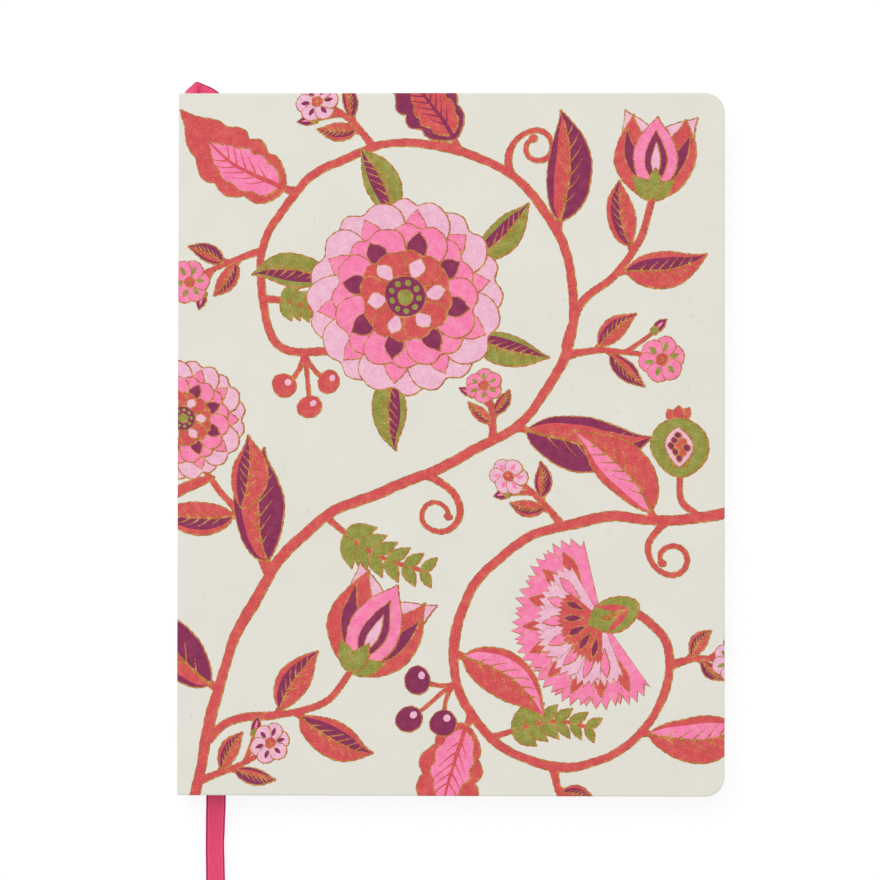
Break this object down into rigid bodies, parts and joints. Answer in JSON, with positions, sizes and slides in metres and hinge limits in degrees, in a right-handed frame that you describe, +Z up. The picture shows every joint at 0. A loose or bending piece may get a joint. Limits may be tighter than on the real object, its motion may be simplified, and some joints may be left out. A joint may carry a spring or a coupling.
{
  "type": "blank notebook",
  "caption": "Blank notebook with flexible paper-covered boards, rounded fore-edge corners, sewn sections of plain leaves and a ribbon marker; both covers open on the spine.",
  "frame": {"origin": "middle of the underside of the closed notebook, measured without its ribbon", "axes": "+Z up from the back cover to the front cover, +Y towards the head of the page, +X from the spine to the fore edge"},
  "size_m": [0.1778, 0.2848, 0.0159],
  "materials": {
    "cover_paper": "matte",
    "board": "matte",
    "endpaper": "matte",
    "leaves": "matte",
    "thread": "matte",
    "mull": "matte",
    "lining": "matte",
    "headband": "satin",
    "ribbon": "satin"
  },
  "bodies": {
    "text_block": {"section_06": "leaves", "section_07": "leaves", "section_08": "leaves", "section_09": "leaves", "section_10": "leaves", "spine_wrap": "cover_paper", "spine_board": "board", "spine_lining": "lining", "spine_mull": "mull", "sewing_thread": "thread", "headband_head": "headband", "headband_tail": "headband", "ribbon_marker": "ribbon"},
    "front_cover": {"front_wrap": "cover_paper", "front_board": "board", "front_pastedown": "endpaper"},
    "back_cover": {"back_wrap": "cover_paper", "back_board": "board", "back_pastedown": "endpaper"},
    "front_flyleaf_leaf": {"front_flyleaf": "endpaper"},
    "back_flyleaf_leaf": {"back_flyleaf": "endpaper"},
    "leaves_01": {"section_01": "leaves"},
    "leaves_02": {"section_02": "leaves"},
    "leaves_03": {"section_03": "leaves"},
    "leaves_04": {"section_04": "leaves"},
    "leaves_05": {"section_05": "leaves"}
  },
  "joints": [
    {"name": "front_cover_hinge", "type": "hinge", "parent": "text_block", "child": "front_cover", "pos_m": [-0.08895, 0, 0.0137], "axis": [0, -1, 0], "range_deg": [0, 180]},
    {"name": "back_cover_hinge", "type": "hinge", "parent": "text_block", "child": "back_cover", "pos_m": [-0.08895, 0, 0.0022], "axis": [0, 1, 0], "range_deg": [0, 180]},
    {"name": "front_flyleaf_turn", "type": "hinge", "parent": "text_block", "child": "front_flyleaf_leaf", "pos_m": [-0.08895, 0, 0.0137], "axis": [0, -1, 0], "range_deg": [0, 180]},
    {"name": "leaves_01_turn", "type": "hinge", "parent": "text_block", "child": "leaves_01", "pos_m": [-0.08895, 0, 0.0137], "axis": [0, -1, 0], "range_deg": [0, 180]},
    {"name": "leaves_02_turn", "type": "hinge", "parent": "text_block", "child": "leaves_02", "pos_m": [-0.08895, 0, 0.0137], "axis": [0, -1, 0], "range_deg": [0, 180]},
    {"name": "leaves_03_turn", "type": "hinge", "parent": "text_block", "child": "leaves_03", "pos_m": [-0.08895, 0, 0.0137], "axis": [0, -1, 0], "range_deg": [0, 180]},
    {"name": "leaves_04_turn", "type": "hinge", "parent": "text_block", "child": "leaves_04", "pos_m": [-0.08895, 0, 0.0137], "axis": [0, -1, 0], "range_deg": [0, 180]},
    {"name": "leaves_05_turn", "type": "hinge", "parent": "text_block", "child": "leaves_05", "pos_m": [-0.08895, 0, 0.0137], "axis": [0, -1, 0], "range_deg": [0, 180]},
    {"name": "back_flyleaf_turn", "type": "hinge", "parent": "text_block", "child": "back_flyleaf_leaf", "pos_m": [-0.08895, 0, 0.0022], "axis": [0, 1, 0], "range_deg": [0, 180]}
  ],
  "couplings": [
    {"joint": "front_flyleaf_turn", "follows": "front_cover_hinge", "ratio": 0.995},
    {"joint": "leaves_01_turn", "follows": "front_cover_hinge", "ratio": 0.99},
    {"joint": "leaves_02_turn", "follows": "front_cover_hinge", "ratio": 0.985},
    {"joint": "leaves_03_turn", "follows": "front_cover_hinge", "ratio": 0.98},
    {"joint": "leaves_04_turn", "follows": "front_cover_hinge", "ratio": 0.975},
    {"joint": "leaves_05_turn", "follows": "front_cover_hinge", "ratio": 0.97},
    {"joint": "back_flyleaf_turn", "follows": "back_cover_hinge", "ratio": 1}
  ]
}
